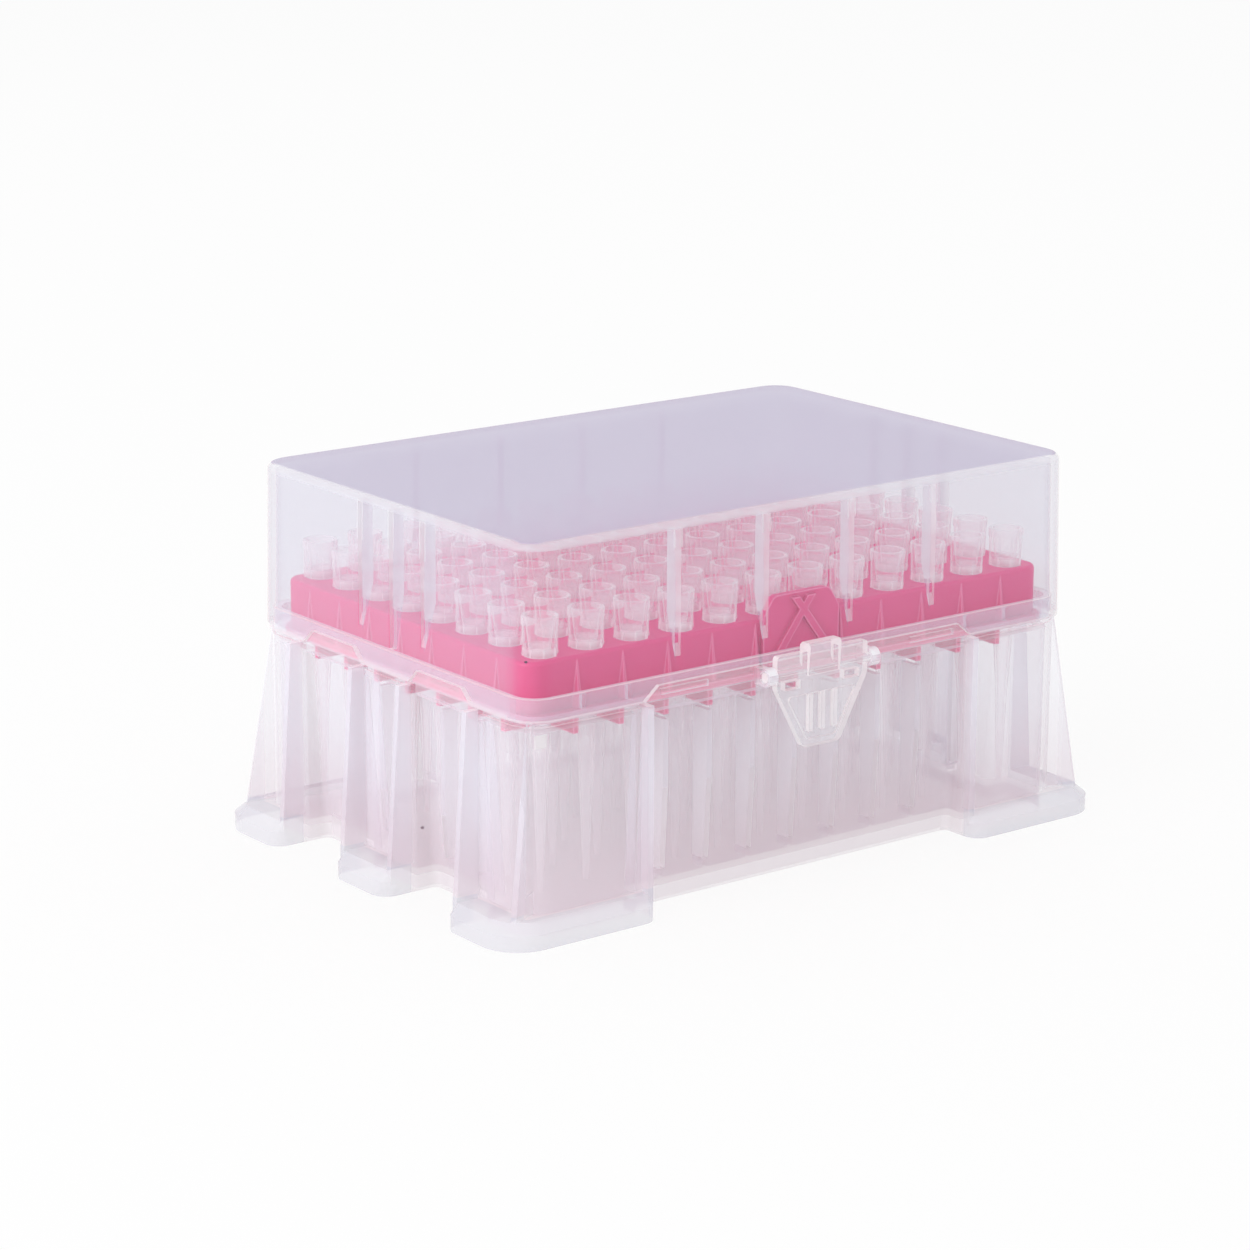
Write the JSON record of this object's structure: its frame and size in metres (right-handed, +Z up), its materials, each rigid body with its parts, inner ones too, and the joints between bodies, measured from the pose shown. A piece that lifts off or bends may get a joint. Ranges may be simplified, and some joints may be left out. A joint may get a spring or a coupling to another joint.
{
  "type": "pipette tip box",
  "caption": "Footed clear plastic box with a hinged lid and front latch, holding a pink rack of filter pipette tips.",
  "frame": {"origin": "centre of the footprint on the surface that the feet stand on", "axes": "+X along the long side, -Y towards the latch at the front, +Z up"},
  "size_m": [0.1278, 0.0854, 0.0639],
  "materials": {
    "base_plastic": "satin",
    "rack_plastic": "satin",
    "lid_plastic": "gloss",
    "tip_plastic": "satin",
    "filter": "matt"
  },
  "bodies": {
    "base": {"base": "base_plastic", "rack": "rack_plastic", "tips_column_01": "tip_plastic", "tips_column_02": "tip_plastic", "tips_column_03": "tip_plastic", "tips_column_04": "tip_plastic", "tips_column_05": "tip_plastic", "tips_column_06": "tip_plastic", "tips_column_07": "tip_plastic", "tips_column_08": "tip_plastic", "tips_column_09": "tip_plastic", "tips_column_10": "tip_plastic", "tips_column_11": "tip_plastic", "tips_column_12": "tip_plastic", "filters_column_01": "filter", "filters_column_02": "filter", "filters_column_03": "filter", "filters_column_04": "filter", "filters_column_05": "filter", "filters_column_06": "filter", "filters_column_07": "filter", "filters_column_08": "filter", "filters_column_09": "filter", "filters_column_10": "filter", "filters_column_11": "filter", "filters_column_12": "filter"},
    "lid": {"lid": "lid_plastic"},
    "latch": {"latch": "lid_plastic"}
  },
  "joints": [
    {"name": "lid_hinge", "type": "hinge", "parent": "base", "child": "lid", "pos_m": [0, 0.0406, 0.0344], "axis": [-1, 0, 0], "range_deg": [0, 110]},
    {"name": "latch_rocker", "type": "hinge", "parent": "base", "child": "latch", "pos_m": [0, -0.0409, 0.036], "axis": [1, 0, 0], "range_deg": [0, 14]}
  ]
}
